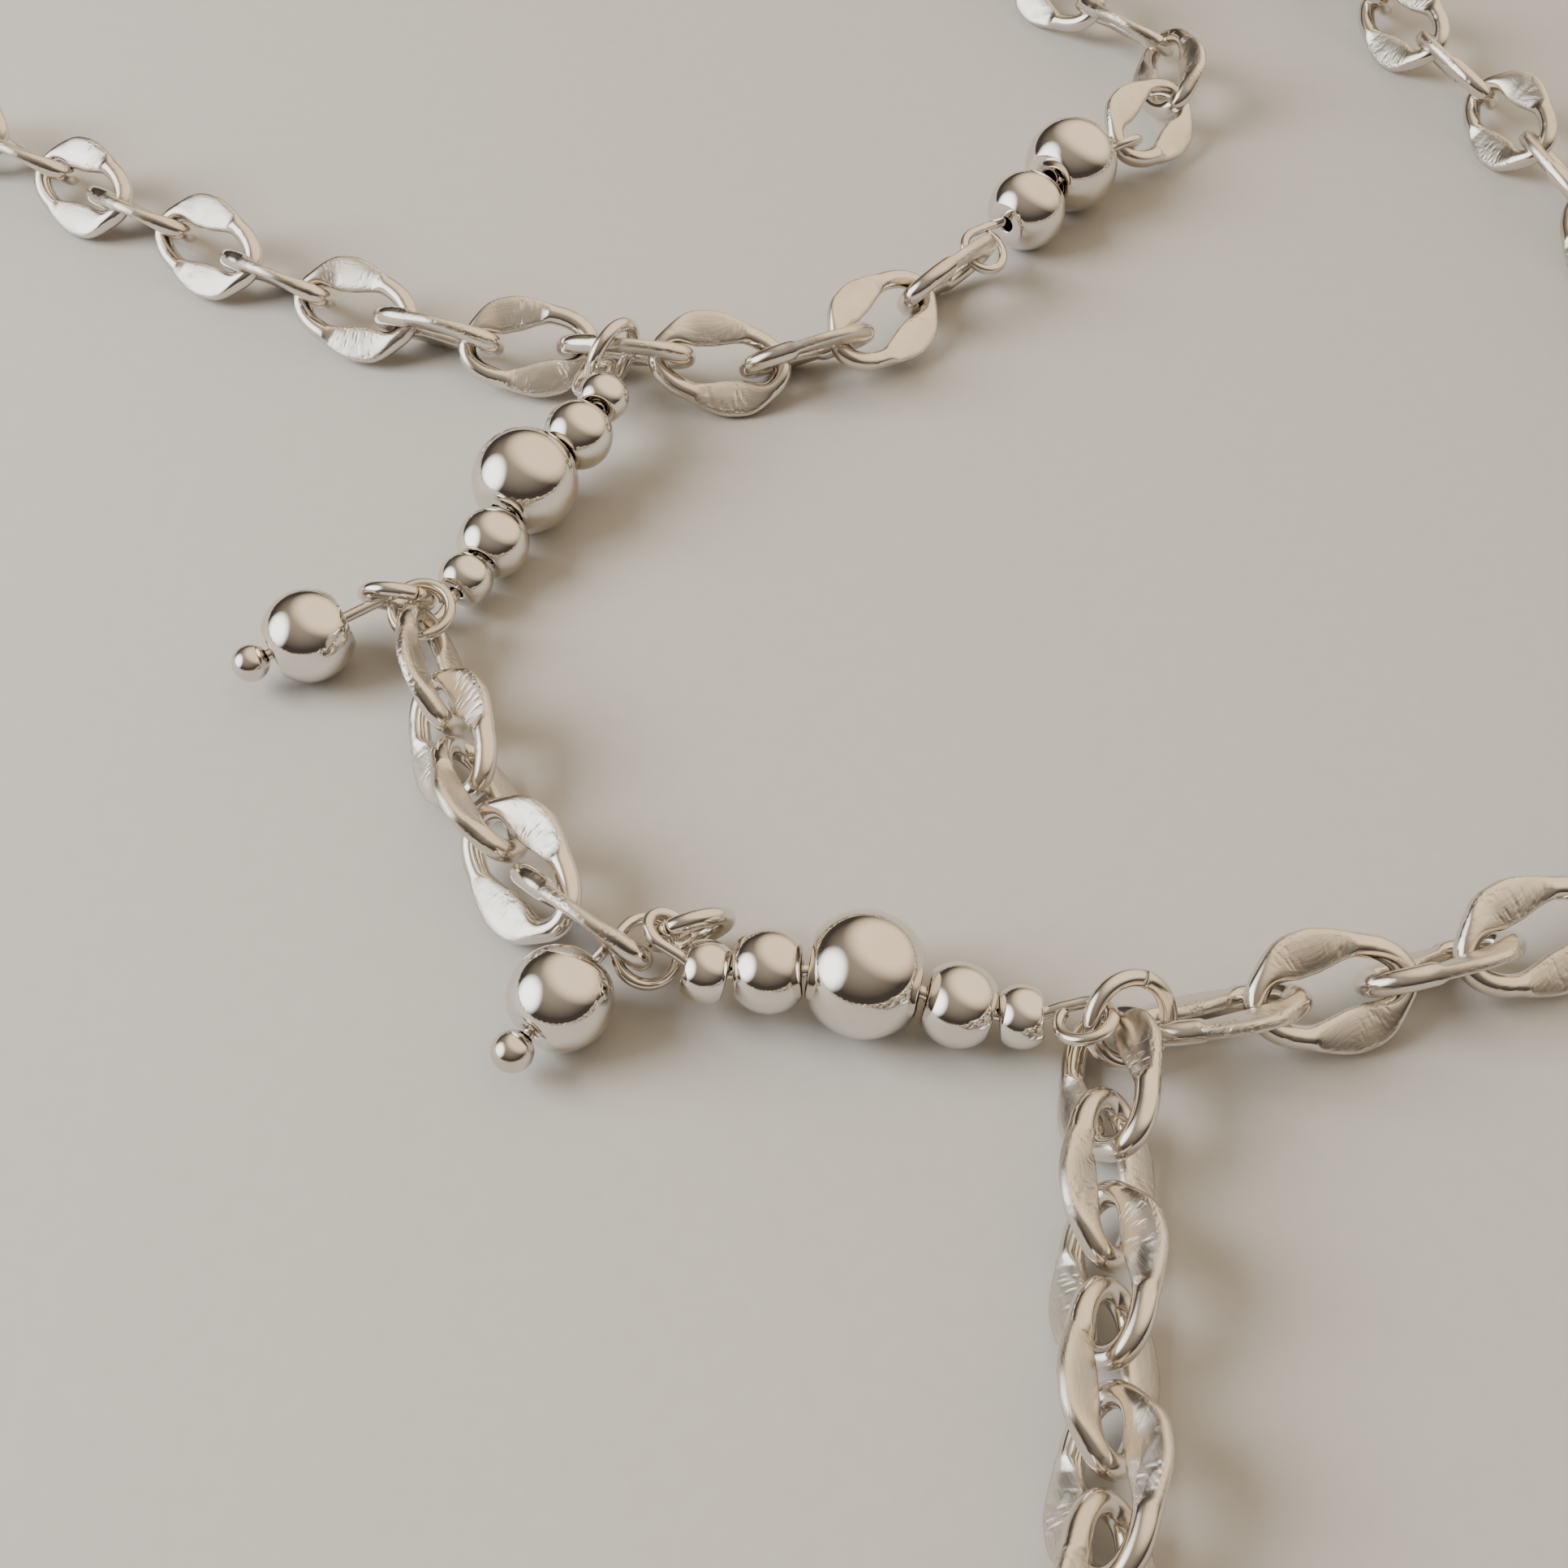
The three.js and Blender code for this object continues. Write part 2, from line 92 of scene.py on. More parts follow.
class Shape:  # loose lists of vertices and faces that grow into one mesh
    def __init__(self):
        self.vertices = []
        self.faces = []
        self.uvs = []

    def grid(self, rows, closed=False):  # rows of points joined side by side, the two ends capped unless closed
        start = len(self.vertices)
        count = len(rows[0])
        along = 0.0
        for index, row in enumerate(rows):
            if index:
                along += (row[0] - rows[index - 1][0]).length
            around = sum((row[k] - row[k - 1]).length for k in range(count))
            self.vertices += row
            self.uvs += [(along, around * abs(2 * k / count - 1) / 2) for k in range(count)]
        for r in range(len(rows) - (0 if closed else 1)):
            nextRow = (r + 1) % len(rows)
            for k in range(count):
                beside = (k + 1) % count
                self.faces.append((start + r * count + k, start + r * count + beside,
                                   start + nextRow * count + beside, start + nextRow * count + k))
        if not closed:
            self.faces.append(tuple(start + k for k in reversed(range(count))))
            self.faces.append(tuple(start + (len(rows) - 1) * count + k for k in range(count)))

    def mesh(self, name, matrix):
        return newMesh(name, [matrix @ v for v in self.vertices], self.faces, self.uvs)


wireEnds = ((1.0, 0.7), (0.6, 0.92))  # rounding of a wire's end: share of the blunt length, share of the radius


def sweptWire(shape, points, radius, sides, blunt=0.25):  # round wire along points, ends a little rounded
    tangents = []
    for k in range(len(points)):
        before, after = points[max(0, k - 1)], points[min(len(points) - 1, k + 1)]
        tangents.append((after - before).normalized())
    side = tangents[0].orthogonal().normalized()
    rows = []
    for k, (point, tangent) in enumerate(zip(points, tangents)):
        side = (side - tangent * side.dot(tangent)).normalized()
        across = tangent.cross(side)
        ring = lambda place, r: [place + (side * math.cos(a) + across * math.sin(a)) * r
                                 for a in (2 * math.pi * s / sides for s in range(sides))]
        tip = tangent * blunt * radius
        if k == 0:
            rows += [ring(point - tip * out, radius * share) for out, share in wireEnds]
        rows.append(ring(point, radius))
        if k == len(points) - 1:
            rows += [ring(point + tip * out, radius * share) for out, share in reversed(wireEnds)]
    shape.grid(rows)


def smoothPath(points, step):  # centripetal curve through the points, sampled at about that step
    out = []
    last = len(points) - 1
    for i in range(last):
        p1, p2 = points[i], points[i + 1]
        p0 = points[i - 1] if i else p1 * 2 - p2
        p3 = points[i + 2] if i + 2 <= last else p2 * 2 - p1
        d0, d1, d2 = ((b - a).length ** 0.5 for a, b in ((p0, p1), (p1, p2), (p2, p3)))
        t1 = ((p1 - p0) / d0 - (p2 - p0) / (d0 + d1) + (p2 - p1) / d1) * d1
        t2 = ((p2 - p1) / d1 - (p3 - p1) / (d1 + d2) + (p3 - p2) / d2) * d1
        count = max(1, round((p2 - p1).length / step))
        for k in range(count):
            t = k / count
            out.append(p1 + t1 * t + (3 * (p2 - p1) - 2 * t1 - t2) * t * t + (2 * (p1 - p2) + t1 + t2) * t ** 3)
    out.append(points[-1].copy())
    return out


def newGroup(name, inputs, outputs):  # shader group with named sockets: label, kind and value of each
    tree = bpy.data.node_groups.new(name, "ShaderNodeTree")
    for label, kind, value in inputs:
        socket = tree.interface.new_socket(label, in_out="INPUT", socket_type=kind)
        if value is not None:
            socket.default_value = value
    for label, kind in outputs:
        tree.interface.new_socket(label, in_out="OUTPUT", socket_type=kind)
    return tree, tree.nodes.new("NodeGroupInput"), tree.nodes.new("NodeGroupOutput")


def addNode(tree, kind, **settings):
    node = tree.nodes.new(kind)
    for key, value in settings.items():
        if key.startswith("in_"):
            node.inputs[int(key[3:])].default_value = value
        else:
            setattr(node, key, value)
    return node


def mathNode(tree, operation, first, second=None, third=None):
    node = addNode(tree, "ShaderNodeMath", operation=operation)
    for index, value in enumerate((first, second, third)):
        if value is None:
            continue
        if isinstance(value, (int, float)):
            node.inputs[index].default_value = value
        else:
            tree.links.new(value, node.inputs[index])
    return node.outputs[0]


def rampNode(tree, value, stops):
    node = tree.nodes.new("ShaderNodeValToRGB")
    while len(node.color_ramp.elements) < len(stops):
        node.color_ramp.elements.new(0.5)
    for element, (place, grey) in zip(node.color_ramp.elements, stops):
        element.position = place
        element.color = (*grey, 1) if isinstance(grey, tuple) else (grey, grey, grey, 1)
    tree.links.new(value, node.inputs[0])
    return node.outputs[0]


def makeHairlines():  # fine handling marks: two crossing sets of stretched noise
    tree, source, out = newGroup("hairlines", [
        ("Vector", "NodeSocketVector", None), ("Density", "NodeSocketFloat", 900.0),
        ("Length", "NodeSocketFloat", 0.05)],
        [("Marks", "NodeSocketFloat")])
    sets = []
    for angle in (0.35, -0.9):
        turned = addNode(tree, "ShaderNodeVectorRotate", rotation_type="Z_AXIS")
        turned.inputs["Angle"].default_value = angle
        tree.links.new(source.outputs["Vector"], turned.inputs["Vector"])
        squeeze = addNode(tree, "ShaderNodeCombineXYZ", in_1=1.0, in_2=1.0)
        tree.links.new(source.outputs["Length"], squeeze.inputs[0])
        scaled = addNode(tree, "ShaderNodeVectorMath", operation="MULTIPLY")
        tree.links.new(turned.outputs[0], scaled.inputs[0])
        tree.links.new(squeeze.outputs[0], scaled.inputs[1])
        noise = addNode(tree, "ShaderNodeTexNoise")
        noise.inputs["Detail"].default_value = 1.5
        tree.links.new(scaled.outputs[0], noise.inputs["Vector"])
        tree.links.new(source.outputs["Density"], noise.inputs["Scale"])
        sets.append(rampNode(tree, noise.outputs[0], [(0.6, 0.0), (0.74, 1.0)]))
    tree.links.new(mathNode(tree, "MAXIMUM", sets[0], sets[1]), out.inputs["Marks"])
    return tree


def makeWear():  # slow changes of tone over the metal, and a thin film that dulls it in patches
    tree, source, out = newGroup("handlingFilm", [
        ("Vector", "NodeSocketVector", None), ("Patch", "NodeSocketFloat", 220.0),
        ("Clean", "NodeSocketColor", (0.7, 0.68, 0.65, 1)), ("Filmed", "NodeSocketColor", (0.6, 0.56, 0.5, 1)),
        ("Amount", "NodeSocketFloat", 0.5)],
        [("Color", "NodeSocketColor"), ("Film", "NodeSocketFloat")])
    noise = addNode(tree, "ShaderNodeTexNoise")
    noise.inputs["Detail"].default_value = 4
    noise.inputs["Roughness"].default_value = 0.6
    tree.links.new(source.outputs["Vector"], noise.inputs["Vector"])
    tree.links.new(source.outputs["Patch"], noise.inputs["Scale"])
    film = rampNode(tree, noise.outputs[0], [(0.4, 0.0), (0.68, 1.0)])
    amount = mathNode(tree, "MULTIPLY", film, source.outputs["Amount"])
    mix = addNode(tree, "ShaderNodeMix", data_type="RGBA")
    tree.links.new(amount, mix.inputs[0])
    tree.links.new(source.outputs["Clean"], mix.inputs[6])
    tree.links.new(source.outputs["Filmed"], mix.inputs[7])
    tree.links.new(mix.outputs[2], out.inputs["Color"])
    tree.links.new(amount, out.inputs["Film"])
    return tree


def makeBrushing():  # strokes along u of the piece's own map, broken up by slow noise
    tree, source, out = newGroup("brushedStrokes", [
        ("Vector", "NodeSocketVector", None), ("Strokes", "NodeSocketFloat", 9.0),
        ("Stretch", "NodeSocketFloat", 0.06)],
        [("Height", "NodeSocketFloat"), ("Tone", "NodeSocketFloat")])
    squeeze = addNode(tree, "ShaderNodeCombineXYZ", in_1=1.0, in_2=1.0)
    tree.links.new(source.outputs["Stretch"], squeeze.inputs[0])
    scaled = addNode(tree, "ShaderNodeVectorMath", operation="MULTIPLY")
    tree.links.new(source.outputs["Vector"], scaled.inputs[0])
    tree.links.new(squeeze.outputs[0], scaled.inputs[1])
    fine = addNode(tree, "ShaderNodeTexNoise")
    fine.inputs["Detail"].default_value = 5
    fine.inputs["Roughness"].default_value = 0.65
    tree.links.new(scaled.outputs[0], fine.inputs["Vector"])
    tree.links.new(source.outputs["Strokes"], fine.inputs["Scale"])
    wide = addNode(tree, "ShaderNodeTexNoise")
    wide.inputs["Detail"].default_value = 2
    tree.links.new(scaled.outputs[0], wide.inputs["Vector"])
    tree.links.new(mathNode(tree, "MULTIPLY", source.outputs["Strokes"], 0.28), wide.inputs["Scale"])
    wideShare = mathNode(tree, "MULTIPLY", wide.outputs[0], 0.5)
    tree.links.new(mathNode(tree, "MULTIPLY_ADD", fine.outputs[0], 0.6, wideShare), out.inputs["Height"])
    tree.links.new(rampNode(tree, wide.outputs[0], [(0.35, 0.0), (0.65, 1.0)]), out.inputs["Tone"])
    return tree


def makePits():  # small dents and pits that come in patches
    tree, source, out = newGroup("hammeredPits", [
        ("Vector", "NodeSocketVector", None), ("Size", "NodeSocketFloat", 3.0), ("Patch", "NodeSocketFloat", 0.35)],
        [("Depth", "NodeSocketFloat"), ("Mask", "NodeSocketFloat")])
    wave = addNode(tree, "ShaderNodeTexNoise")
    wave.inputs["Detail"].default_value = 2
    tree.links.new(source.outputs["Vector"], wave.inputs["Vector"])
    tree.links.new(mathNode(tree, "MULTIPLY", source.outputs["Size"], 0.6), wave.inputs["Scale"])
    cells = addNode(tree, "ShaderNodeTexVoronoi", feature="SMOOTH_F1")
    cells.inputs["Smoothness"].default_value = 0.35
    tree.links.new(source.outputs["Vector"], cells.inputs["Vector"])
    tree.links.new(source.outputs["Size"], cells.inputs["Scale"])
    patch = addNode(tree, "ShaderNodeTexNoise")
    patch.inputs["Detail"].default_value = 1
    tree.links.new(source.outputs["Vector"], patch.inputs["Vector"])
    tree.links.new(source.outputs["Patch"], patch.inputs["Scale"])
    mask = rampNode(tree, patch.outputs[0], [(0.47, 0.0), (0.6, 1.0)])
    dents = rampNode(tree, cells.outputs["Distance"], [(0.05, 0.0), (0.5, 1.0)])
    depth = mathNode(tree, "MULTIPLY_ADD", wave.outputs[0], 0.5, mathNode(tree, "MULTIPLY", dents, 0.7))
    tree.links.new(mathNode(tree, "MULTIPLY", mathNode(tree, "SUBTRACT", depth, 0.8), mask), out.inputs["Depth"])
    tree.links.new(mask, out.inputs["Mask"])
    return tree


hairlines, handlingFilm, brushedStrokes, hammeredPits = makeHairlines(), makeWear(), makeBrushing(), makePits()
print("shared finishes ready")

finishes = {  # colours and roughness a user may change
    "polishedBeads": {"clean": (0.8, 0.77, 0.73), "filmed": (0.72, 0.66, 0.59),
                      "rough": 0.03, "marks": 0.07, "film": 0.5},
    "roundWire": {"clean": (0.78, 0.745, 0.7), "filmed": (0.66, 0.6, 0.52),
                  "rough": 0.08, "marks": 0.1, "film": 0.8},
    "flatSidedLinks": {"clean": (0.78, 0.74, 0.69), "filmed": (0.66, 0.6, 0.52),
                       "rough": 0.09, "marks": 0.1, "film": 0.8, "brushed": 0.17, "pits": 0.06},
    "claspSteel": {"clean": (0.78, 0.75, 0.71), "filmed": (0.66, 0.61, 0.54),
                   "rough": 0.08, "marks": 0.12, "film": 0.8},
}
relief = {  # how far the marks go in, and the size of the patches
    "filmPatch": 260, "filmRough": 0.09, "scratches": -0.6, "strokes": 1.1, "dents": 1.5,
    "plainBump": (0.35, 0.000012), "flatSideBump": (0.7, 0.00004), "moveByLink": (70.0, 31.0),
}


def steelMaterial(name, facets=False):
    values = finishes[name]
    material = bpy.data.materials.new(name)
    material.use_nodes = True
    tree = material.node_tree
    shader = tree.nodes["Principled BSDF"]
    shader.inputs["Metallic"].default_value = 1.0
    coords = tree.nodes.new("ShaderNodeTexCoord")
    film = addNode(tree, "ShaderNodeGroup", node_tree=handlingFilm)
    film.inputs["Patch"].default_value = relief["filmPatch"]
    film.inputs["Clean"].default_value = (*values["clean"], 1)
    film.inputs["Filmed"].default_value = (*values["filmed"], 1)
    film.inputs["Amount"].default_value = values["film"]
    marks = addNode(tree, "ShaderNodeGroup", node_tree=hairlines)
    for group in (film, marks):
        tree.links.new(coords.outputs["Object"], group.inputs["Vector"])
    tree.links.new(film.outputs["Color"], shader.inputs["Base Color"])
    rough = mathNode(tree, "MULTIPLY_ADD", film.outputs["Film"], relief["filmRough"], values["rough"])
    rough = mathNode(tree, "MULTIPLY_ADD", marks.outputs["Marks"], values["marks"], rough)
    bump = addNode(tree, "ShaderNodeBump")
    height = mathNode(tree, "MULTIPLY", marks.outputs["Marks"], relief["scratches"])
    if facets:  # the flat sides: strokes along them, dents in patches, a new pattern on every link
        petal = addNode(tree, "ShaderNodeAttribute", attribute_name="petal")
        seed = addNode(tree, "ShaderNodeAttribute", attribute_name="linkSeed")
        away = addNode(tree, "ShaderNodeCombineXYZ")
        for index, distance in zip((0, 2), relief["moveByLink"]):
            tree.links.new(mathNode(tree, "MULTIPLY", seed.outputs["Fac"], distance), away.inputs[index])
        moved = addNode(tree, "ShaderNodeVectorMath", operation="ADD")
        tree.links.new(coords.outputs["UV"], moved.inputs[0])
        tree.links.new(away.outputs[0], moved.inputs[1])
        strokes = addNode(tree, "ShaderNodeGroup", node_tree=brushedStrokes)
        pits = addNode(tree, "ShaderNodeGroup", node_tree=hammeredPits)
        for group in (strokes, pits):
            tree.links.new(moved.outputs[0], group.inputs["Vector"])
        flat = petal.outputs["Fac"]
        tone = mathNode(tree, "MULTIPLY", flat, mathNode(tree, "MULTIPLY_ADD", strokes.outputs["Tone"], 0.7, 0.3))
        rough = mathNode(tree, "MULTIPLY_ADD", tone, values["brushed"], rough)
        pitted = mathNode(tree, "MULTIPLY", pits.outputs["Mask"], flat)
        rough = mathNode(tree, "MULTIPLY_ADD", pitted, values["pits"], rough)
        brushed = mathNode(tree, "MULTIPLY", strokes.outputs["Height"], flat)
        dented = mathNode(tree, "MULTIPLY", pits.outputs["Depth"], flat)
        brushed = mathNode(tree, "MULTIPLY", brushed, relief["strokes"])
        dented = mathNode(tree, "MULTIPLY", dented, relief["dents"])
        height = mathNode(tree, "ADD", height, mathNode(tree, "ADD", brushed, dented))
    strength, distance = relief["flatSideBump" if facets else "plainBump"]
    bump.inputs["Strength"].default_value = strength
    bump.inputs["Distance"].default_value = distance
    tree.links.new(rough, shader.inputs["Roughness"])
    tree.links.new(height, bump.inputs["Height"])
    tree.links.new(bump.outputs[0], shader.inputs["Normal"])
    return material


polishedBeads = steelMaterial("polishedBeads")
roundWire = steelMaterial("roundWire")
flatSidedLinks = steelMaterial("flatSidedLinks", facets=True)
claspSteel = steelMaterial("claspSteel")
print("metals ready")


linkShape = {  # millimetres, and where along a side its petal starts, narrows and steps back to wire
    "length": 8.6, "width": 6.1, "endWire": 1.15, "petalWidth": 2.15, "petalThickness": 0.75,
    "petalStart": (-3.4, -1.6), "petalTaper": (-0.9, 1.7), "petalStep": (0.95, 1.35), "sideReach": 2.03,
    "endFullness": 0.9, "squareness": 5.0, "crown": 0.06, "aroundSteps": 96, "sectionSteps": 20,
}
endReach = (linkShape["length"] - linkShape["endWire"]) / 2


def petalShare(along, end):  # share of the way from round wire to full petal: a slow start, then the named end
    return smoothStep(*linkShape["petalStart"], along) * (1 - smoothStep(*linkShape[end], along))


def linkMesh():  # round wire at both ends, long sides pressed flat; x along the link
    form = linkShape
    rows, masks = [], []
    for step in range(form["aroundSteps"]):
        angle = 2 * math.pi * (step + 0.5) / form["aroundSteps"]
        cosine, sine = math.cos(angle), math.sin(angle)
        bend = math.copysign(abs(cosine) ** form["endFullness"], cosine)
        centre = Vector((endReach * bend, form["sideReach"] * sine, 0))
        along = centre.x * math.copysign(1, sine)
        share = petalShare(along, "petalStep")
        width = form["endWire"] + (form["petalWidth"] - form["endWire"]) * petalShare(along, "petalTaper")
        height = form["endWire"] + (form["petalThickness"] - form["endWire"]) * share
        outward = Vector((cosine / form["length"], sine / form["width"], 0)).normalized()
        power = 2 / (2 + (form["squareness"] - 2) * share)
        for k in range(form["sectionSteps"]):
            turn = 2 * math.pi * k / form["sectionSteps"]
            c, s = math.cos(turn), math.sin(turn)
            across = math.copysign(abs(c) ** power, c)
            rise = math.copysign(abs(s) ** power, s) * (height / 2 - form["crown"] * share * across * across)
            rows.append(centre + outward * (width / 2) * across + Vector((0, 0, rise)))
        masks += [share] * form["sectionSteps"]
    rows = [rows[k:k + form["sectionSteps"]] for k in range(0, len(rows), form["sectionSteps"])]
    shape = Shape()
    shape.grid(rows, closed=True)
    return newMesh("linkForm", [v * 0.001 for v in shape.vertices], shape.faces, shape.uvs, {"petal": masks})


ownLinks = {  # stretch: name, then x, y, z, azimuth, tilt, roll of each link
    "left": [
        ("link_left_0", -9.44, 101.31, 2.7, -12.1, 4.32, -48.7),
        ("link_left_1", -15.3, 102.12, 2.44, -1.34, 3.36, 39.27),
        ("link_left_2", -20.86, 103.42, 2.54, -20.98, 1.04, -52.61),
        ("link_left_3", -26.17, 105.75, 2.41, -23.78, 0.54, 39.76),
        ("link_left_4", -31.36, 108.67, 2.45, -32, 0, -49.36),
        ("link_left_5", -36.25, 112.04, 2.45, -34.94, -0.73, 40.34),
        ("link_left_6", -41.08, 115.48, 2.42, -33.89, 1.02, -45.67),
        ("link_left_7", -45.6, 118.72, 2.25, -36.86, 1.61, 39.87),
    ],
    "far": [
        ("link_far_1", -3.82, 100.66, 2.34, -2.07, -8.41, 40.89),
        ("link_far_2", 1.37, 101.68, 2.5, 19.55, 4.35, -49.77),
        ("link_far_3", 6.01, 104.63, 2.47, 47.71, 2.43, 36.43),
        ("link_far_4", 10.1, 109, 2.58, 48.5, -3.74, -60),
    ],
    "right": [
        ("link_right_1", 19.81, 54.32, 2.31, 8.17, 6.84, -40.92),
        ("link_right_2", 25.12, 55.46, 2.47, 14.06, -1.37, 40.67),
        ("link_right_3", 30.38, 57.01, 2.46, 19, -0.55, -49.69),
        ("link_right_4", 35.15, 58.54, 2.48, 21.65, 1.6, 39.79),
    ],
    "middle": [
        ("link_middle_1", -18.17, 75.46, 2.7, -74.96, -0.99, -60.24),
        ("link_middle_2", -16.78, 70.95, 2.48, -66.95, 1.35, 44.03),
        ("link_middle_3", -14.98, 66.77, 2.67, -67.84, 3.91, -46.74),
        ("link_middle_4", -12.66, 62.52, 2.47, -54.61, -2.23, 38.64),
        ("link_middle_5", -9.54, 59.46, 2.82, -40.06, -0.22, -64.32),
    ],
    "front": [
        ("link_front_1", 14.49, 50.76, 2.28, -87.2, 11.23, 45.79),
        ("link_front_2", 13.91, 45.77, 2.51, -96.56, -1.29, -45.47),
        ("link_front_3", 13.48, 41.3, 2.42, -93.49, 0.95, 45.05),
        ("link_front_4", 13.1, 36.8, 2.41, -95.84, 0.25, -44.91),
        ("link_front_5", 12.6, 32.3, 2.45, -96.97, 0.01, 44.58),
        ("link_front_6", 12.1, 27.82, 2.46, -95.97, -0.36, -44.76),
    ],
}

claspPlace = {"x": -61, "y": 7, "azimuth": -40, "lastLinkAt": 11.95}
claspFrame = poseMatrix(claspPlace["x"], claspPlace["y"], 0, claspPlace["azimuth"], 0, 0)

hiddenChains = {  # guide points on the floor, turn of the first and last link, side of the clasp it runs to
    "pitch": 6.6, "floorGap": 0.03, "guideStep": 0.05,
    "neck_chain_left": {"from": 46, "to": 90, "clasp": -1, "route": [
        (-47.2, 120.1), (-56, 125.2), (-66, 125.5), (-77, 117), (-84, 100), (-86, 78), (-84, 55), (-79, 33)]},
    "neck_chain_right": {"from": 45, "to": 90, "clasp": 1, "route": [
        (11.9, 25.5), (10.5, 15), (5, 3), (-6, -7), (-21, -12), (-35.2, -9.8)]},
    "drape_chain": {"from": 40, "to": 50, "clasp": 0, "route": [
        (22.5, 123), (26.1, 128.5), (25.9, 134.9), (22, 140), (18.3, 146), (20, 153.5), (27.5, 156.5),
        (37, 151.5), (44, 138), (50, 122), (53.5, 105), (54.2, 90), (54, 80), (51, 71.4)]},
}


def chainPoses(name):  # links at an equal pitch along the guide, every second one a quarter turn on
    chain, pitch = hiddenChains[name], hiddenChains["pitch"]
    guide = [Vector((x, y, 0)) for x, y in chain["route"]]
    if chain["clasp"]:
        last = claspPlace["lastLinkAt"]
        guide += [claspFrame @ Vector((chain["clasp"] * reach, 0, 0)) for reach in (last + pitch, last - pitch / 2)]
    path = smoothPath(guide, hiddenChains["guideStep"])
    along = [0.0]
    for before, after in zip(path, path[1:]):
        along.append(along[-1] + (after - before).length)
    count = round(along[-1] / pitch)
    poses, k = [], 0
    for index in range(count):
        goal = along[-1] * (index + 0.5) / count
        while along[k + 1] < goal:
            k += 1
        place = path[k].lerp(path[k + 1], (goal - along[k]) / (along[k + 1] - along[k]))
        heading = path[min(k + 3, len(path) - 1)] - path[max(k - 2, 0)]
        roll = chain["from"] + (chain["to"] - chain["from"]) * index / (count - 1)
        steep, level = abs(math.sin(math.radians(roll))), abs(math.cos(math.radians(roll)))
        rest = linkShape["width"] / 2 * max(steep, level) + linkShape["petalThickness"] / 2 * min(steep, level)
        azimuth = math.degrees(math.atan2(heading.y, heading.x))
        poses.append((place.x, place.y, rest + hiddenChains["floorGap"], azimuth, 0, roll + (90 if index % 2 else 0)))
    return poses


def makeLinkTree():  # a link on every point, turned as the point says
    tree = bpy.data.node_groups.new("linksOnPoints", "GeometryNodeTree")
    for label, kind in (("Points", "NodeSocketGeometry"), ("Link", "NodeSocketObject"),
                        ("Link size", "NodeSocketFloat"), ("Pattern seed", "NodeSocketInt"),
                        ("Metal", "NodeSocketMaterial")):
        tree.interface.new_socket(label, in_out="INPUT", socket_type=kind)
    tree.interface.new_socket("Links", in_out="OUTPUT", socket_type="NodeSocketGeometry")
    source, out = tree.nodes.new("NodeGroupInput"), tree.nodes.new("NodeGroupOutput")
    info = tree.nodes.new("GeometryNodeObjectInfo")
    turn = addNode(tree, "GeometryNodeInputNamedAttribute", data_type="FLOAT_VECTOR")
    turn.inputs["Name"].default_value = "turn"
    toRotation = tree.nodes.new("FunctionNodeEulerToRotation")
    place = tree.nodes.new("GeometryNodeInstanceOnPoints")
    pattern = addNode(tree, "FunctionNodeRandomValue", data_type="FLOAT")
    keep = addNode(tree, "GeometryNodeStoreNamedAttribute", data_type="FLOAT", domain="INSTANCE")
    keep.inputs["Name"].default_value = "linkSeed"
    real = tree.nodes.new("GeometryNodeRealizeInstances")
    metal = tree.nodes.new("GeometryNodeSetMaterial")
    randomOut = next(o for o in pattern.outputs if o.enabled)
    valueIn = next(i for i in keep.inputs if i.name == "Value" and i.enabled)
    for start, end in (
            (source.outputs["Link"], info.inputs["Object"]), (source.outputs["Points"], place.inputs["Points"]),
            (info.outputs["Geometry"], place.inputs["Instance"]), (turn.outputs["Attribute"], toRotation.inputs[0]),
            (toRotation.outputs[0], place.inputs["Rotation"]), (source.outputs["Link size"], place.inputs["Scale"]),
            (source.outputs["Pattern seed"], pattern.inputs["Seed"]), (place.outputs[0], keep.inputs["Geometry"]),
            (randomOut, valueIn), (keep.outputs[0], real.inputs[0]), (real.outputs[0], metal.inputs["Geometry"]),
            (source.outputs["Metal"], metal.inputs["Material"]), (metal.outputs[0], out.inputs[0])):
        tree.links.new(start, end)
    return tree


linkTree = makeLinkTree()
linkObject = bpy.data.objects.new("linkForm", linkMesh())


def linkStretch(name, poses, nodes, seed):
    places = bpy.data.meshes.new(name + "_points")
    places.from_pydata([tuple(toFrame @ Vector(pose[:3])) for pose in poses], [], [])
    turns = places.attributes.new("turn", "FLOAT_VECTOR", "POINT")
    for item, (_, _, _, azimuth, tilt, roll) in zip(turns.data, poses):
        item.vector = (math.radians(roll), -math.radians(tilt), math.radians(azimuth))
    thing = bpy.data.objects.new(name, places)
    bpy.context.scene.collection.objects.link(thing)
    modifier = thing.modifiers.new("links", "NODES")
    modifier.node_group = linkTree
    settings = {"Link": linkObject, "Link size": 1.0, "Pattern seed": seed, "Metal": flatSidedLinks}
    for socket in linkTree.interface.items_tree:
        if socket.in_out == "INPUT" and socket.name in settings:
            modifier[socket.identifier] = settings[socket.name]
    plain = bpy.data.meshes.new_from_object(thing.evaluated_get(bpy.context.evaluated_depsgraph_get()))
    thing.modifiers.remove(modifier)
    thing.data = plain
    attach(thing, "root")
    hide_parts(*nodes)


patternSeeds = {"ownLinks": 11, "hiddenChains": 31}

for index, (stretch, rows) in enumerate(ownLinks.items()):
    nodes = [row[0] for row in rows]
    linkStretch("links_" + stretch, [row[1:] for row in rows], nodes, patternSeeds["ownLinks"] + index)
for index, name in enumerate(("neck_chain_left", "neck_chain_right", "drape_chain")):
    linkStretch("links_" + name, chainPoses(name), [name], patternSeeds["hiddenChains"] + index)
bpy.data.objects.remove(linkObject)
print("links laid")


